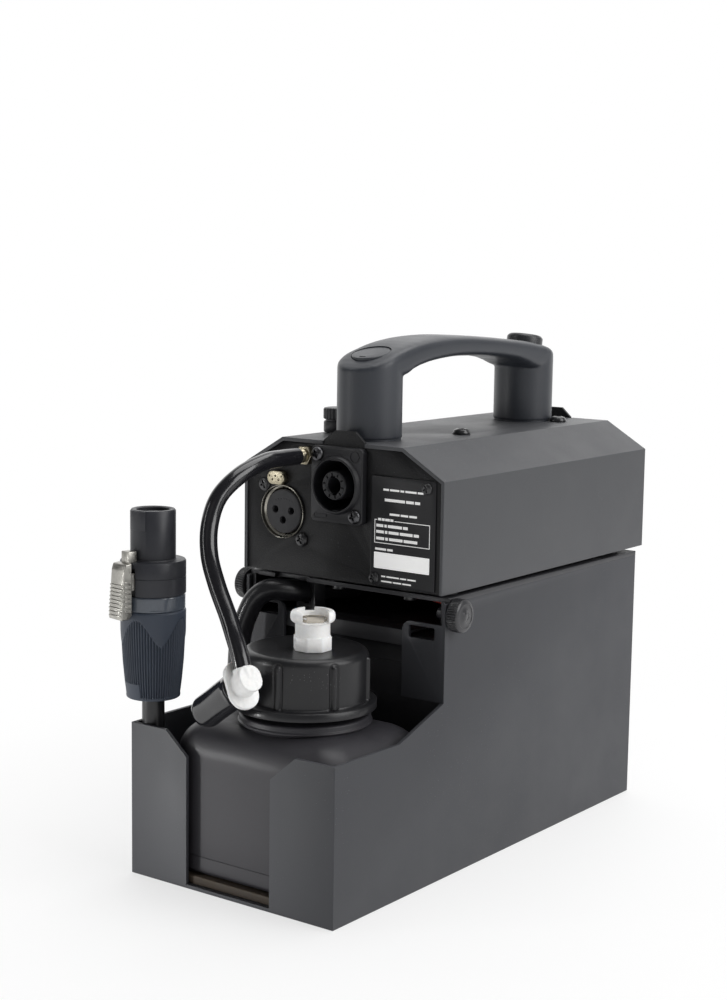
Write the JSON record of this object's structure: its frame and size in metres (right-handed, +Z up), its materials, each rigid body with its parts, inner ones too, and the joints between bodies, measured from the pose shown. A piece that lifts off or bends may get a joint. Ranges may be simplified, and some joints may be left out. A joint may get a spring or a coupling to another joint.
{
  "type": "battery fog machine",
  "caption": "Portable battery fog machine: folded-steel case with fluid bottle and battery bay, fogging head with carrying handle, hose, cable and connectors.",
  "frame": {"origin": "middle of the machine's base, on the surface it stands on", "axes": "+Z up, +Y from the bottle and connector end to the nozzle end, +X to the right as seen from the connector end"},
  "size_m": [0.1154, 0.2526, 0.2139],
  "materials": {
    "case_paint": "fine matt powder coat",
    "hood_paint": "fine matt powder coat",
    "panel_paint": "fine matt powder coat",
    "steel_zinc": "zinc plated",
    "screw_black": "black oxide, satin",
    "thumb_black": "black anodised, knurled rim",
    "battery_plastic": "matt moulded ABS",
    "terminal_tin": "tinned",
    "foam_black": "closed-cell foam",
    "mat_brown": "ribbed rubber mat",
    "bottle_black": "textured black HDPE",
    "cap_black": "satin moulded PP",
    "seal_grey": "foam liner",
    "acetal_white": "white acetal",
    "latch_steel": "stainless",
    "tube_clear": "translucent tubing",
    "filter_felt": "sintered filter",
    "vinyl_black": "glossy black vinyl",
    "cable_black": "satin black jacket",
    "lead_red": "insulated wire",
    "plug_plastic": "satin blue-grey nylon",
    "plug_ring_grey": "glossy grey",
    "nickel": "nickel plated",
    "brass_nickel": "nickelled brass",
    "insert_grey": "moulded insert",
    "socket_black": "moulded nylon",
    "label_black": "anodised plate with pale print",
    "handle_plastic": "soft satin nylon",
    "button_plastic": "moulded nylon",
    "knob_plastic": "moulded knob",
    "board_green": "solder mask",
    "jacket_fibre": "mineral fibre board",
    "heater_alu": "cast aluminium",
    "nozzle_steel": "turned stainless"
  },
  "bodies": {
    "case": {"lower_case": "case_paint", "retainer_bar": "panel_paint", "battery_pad": "foam_black", "battery": "battery_plastic", "battery_terminals": "terminal_tin", "battery_leads": "lead_red", "cable_clip": "socket_black", "battery_cable": "cable_black", "plug_bushing": "plug_plastic", "plug_ring": "plug_ring_grey", "plug_body": "plug_plastic", "bottle_mat": "mat_brown", "bottle": "bottle_black", "chassis_tray": "panel_paint", "hood": "hood_paint", "chassis_screws": "steel_zinc", "rear_panel": "panel_paint", "front_panel": "panel_paint", "label_plate": "label_black", "label_screws": "screw_black", "xlr_shell": "nickel", "xlr_insert": "insert_grey", "xlr_screws": "screw_black", "power_socket": "socket_black", "power_contacts": "brass_nickel", "socket_screws": "steel_zinc", "hose_fitting": "brass_nickel", "feed_tubes": "tube_clear", "fluid_hose": "vinyl_black", "hose_elbow": "acetal_white", "nose_cap": "vinyl_black", "handle": "handle_plastic", "handle_cover": "handle_plastic", "button_switch": "socket_black", "handle_bolts": "steel_zinc", "knob_pot": "steel_zinc", "top_screws": "screw_black", "board_bracket": "steel_zinc", "control_board": "board_green", "wire_harness": "lead_red", "pump_body": "heater_alu", "heater_block": "heater_alu", "heater_jacket": "jacket_fibre", "nozzle": "nozzle_steel"},
    "cap_liner": {"cap_seal": "seal_grey"},
    "cap": {"bottle_cap": "cap_black", "coupling_body": "acetal_white", "dip_tube": "tube_clear", "dip_filter": "filter_felt"},
    "coupling_latch": {"coupling_latch": "latch_steel"},
    "xlr_latch": {"xlr_latch": "brass_nickel"},
    "fog_button": {"fog_button": "button_plastic"},
    "output_knob": {"output_knob": "knob_plastic"},
    "plug_latch": {"plug_latch": "nickel"},
    "pump_plunger": {"pump_plunger": "steel_zinc"},
    "thumbscrew_rear_right": {"thumbscrew_rear_right": "thumb_black"},
    "thumbscrew_rear_left": {"thumbscrew_rear_left": "thumb_black"},
    "thumbscrew_front_right": {"thumbscrew_front_right": "thumb_black"},
    "thumbscrew_front_left": {"thumbscrew_front_left": "thumb_black"}
  },
  "joints": [
    {"name": "cap_rise", "type": "slide", "parent": "case", "child": "cap_liner", "axis": [0, 0, 1], "range_m": [0, 0.0045]},
    {"name": "cap_turn", "type": "hinge", "parent": "cap_liner", "child": "cap", "pos_m": [0.0082, -0.0835, 0.08], "axis": [0, 0, 1], "range_deg": [0, 540]},
    {"name": "coupling_latch_press", "type": "slide", "parent": "cap", "child": "coupling_latch", "axis": [-0.7431, 0.6691, 0], "range_m": [0, 0.0012], "stiffness_N_per_m": 400, "springref_m": -0.001},
    {"name": "xlr_latch_press", "type": "slide", "parent": "case", "child": "xlr_latch", "axis": [0, 1, 0], "range_m": [0, 0.0015], "stiffness_N_per_m": 600, "springref_m": -0.001},
    {"name": "fog_button_press", "type": "slide", "parent": "case", "child": "fog_button", "axis": [0, -0.1736, -0.9848], "range_m": [0, 0.0025], "stiffness_N_per_m": 600, "springref_m": -0.002},
    {"name": "output_knob_turn", "type": "hinge", "parent": "case", "child": "output_knob", "pos_m": [-0.024, -0.022, 0.178], "axis": [0, 0, 1], "range_deg": [-150, 150]},
    {"name": "plug_latch_slide", "type": "slide", "parent": "case", "child": "plug_latch", "axis": [0, 0, -1], "range_m": [0, 0.0025], "stiffness_N_per_m": 600, "springref_m": -0.0015},
    {"name": "pump_stroke", "type": "slide", "parent": "case", "child": "pump_plunger", "axis": [0, 1, 0], "range_m": [0, 0.003], "stiffness_N_per_m": 500, "springref_m": -0.001},
    {"name": "thumbscrew_rear_right_turn", "type": "hinge", "parent": "case", "child": "thumbscrew_rear_right", "pos_m": [0.055, -0.0445, 0.1075], "axis": [1, 0, 0], "continuous": true},
    {"name": "thumbscrew_rear_left_turn", "type": "hinge", "parent": "case", "child": "thumbscrew_rear_left", "pos_m": [-0.055, -0.0445, 0.1075], "axis": [-1, 0, 0], "continuous": true},
    {"name": "thumbscrew_front_right_turn", "type": "hinge", "parent": "case", "child": "thumbscrew_front_right", "pos_m": [0.04, 0.111, 0.104], "axis": [0, 1, 0], "continuous": true},
    {"name": "thumbscrew_front_left_turn", "type": "hinge", "parent": "case", "child": "thumbscrew_front_left", "pos_m": [-0.04, 0.111, 0.104], "axis": [0, 1, 0], "continuous": true}
  ],
  "couplings": [
    {"joint": "cap_rise", "follows": "cap_turn", "m_per_rad": 0.000477}
  ]
}
